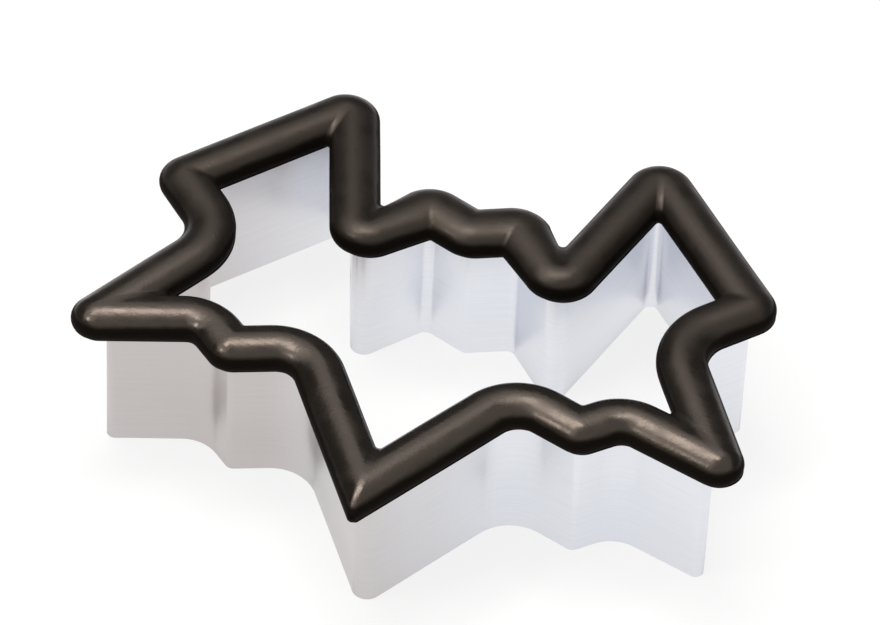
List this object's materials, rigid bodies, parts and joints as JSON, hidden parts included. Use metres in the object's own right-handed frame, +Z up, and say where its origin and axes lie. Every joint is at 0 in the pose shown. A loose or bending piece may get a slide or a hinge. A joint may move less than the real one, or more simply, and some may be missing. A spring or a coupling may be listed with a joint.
{
  "type": "cookie cutter",
  "caption": "Bat-shaped cookie cutter: a deep bent stainless strip cuts the dough, and a soft dark rubber grip around its top edge cushions the hand.",
  "frame": {"origin": "under the middle of the cutter's outline, on the plane of its cutting edge", "axes": "+Z up from the cutting edge to the grip, +Y from the bat's tail to its head, +X towards the bat's wing on the right seen from above"},
  "size_m": [0.1264, 0.1036, 0.0348],
  "materials": {
    "stainless_strip": "bright cold-rolled stainless steel",
    "spot_weld": "pressed and slightly heat-tinted weld spot",
    "soft_grip": "satin moulded thermoplastic rubber, warm charcoal"
  },
  "bodies": {
    "root": {"cutting_band": "stainless_strip", "cushion_grip": "soft_grip", "spot_weld_1": "spot_weld", "spot_weld_2": "spot_weld", "spot_weld_3": "spot_weld"}
  },
  "joints": []
}
